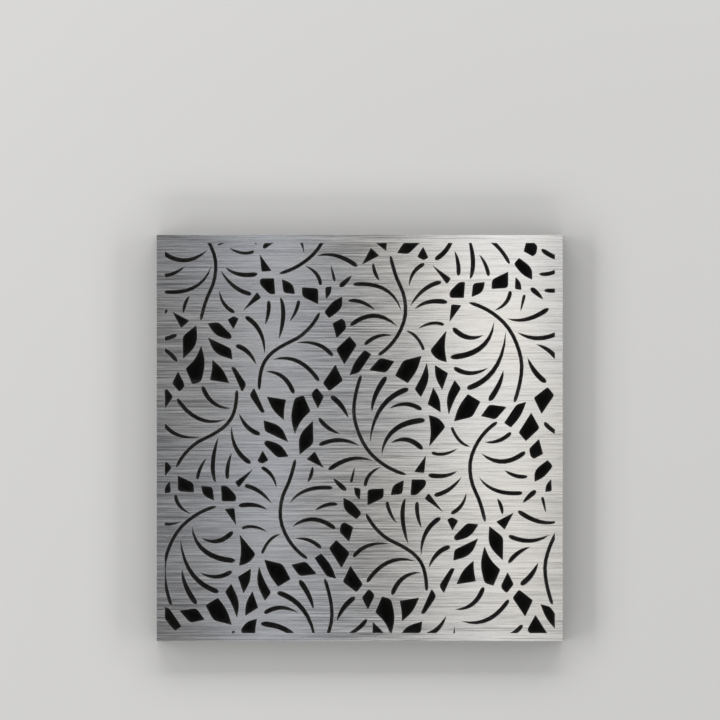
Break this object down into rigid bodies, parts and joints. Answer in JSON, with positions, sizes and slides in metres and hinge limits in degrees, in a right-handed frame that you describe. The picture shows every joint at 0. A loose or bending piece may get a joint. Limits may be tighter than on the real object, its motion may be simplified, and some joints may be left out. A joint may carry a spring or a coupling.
{
  "type": "decorative metal sheet",
  "caption": "Square brushed steel sheet, laser cut with curling palm leaves and small panes inside a plain border.",
  "frame": {"origin": "middle of the back face, on the surface that the sheet lies on", "axes": "+Z out of the front face, +Y towards the edge that is up in the picture, +X to the right"},
  "size_m": [1, 1, 0.003],
  "materials": {
    "steel": "brushed side to side"
  },
  "bodies": {
    "root": {"sheet": "steel"}
  },
  "joints": []
}
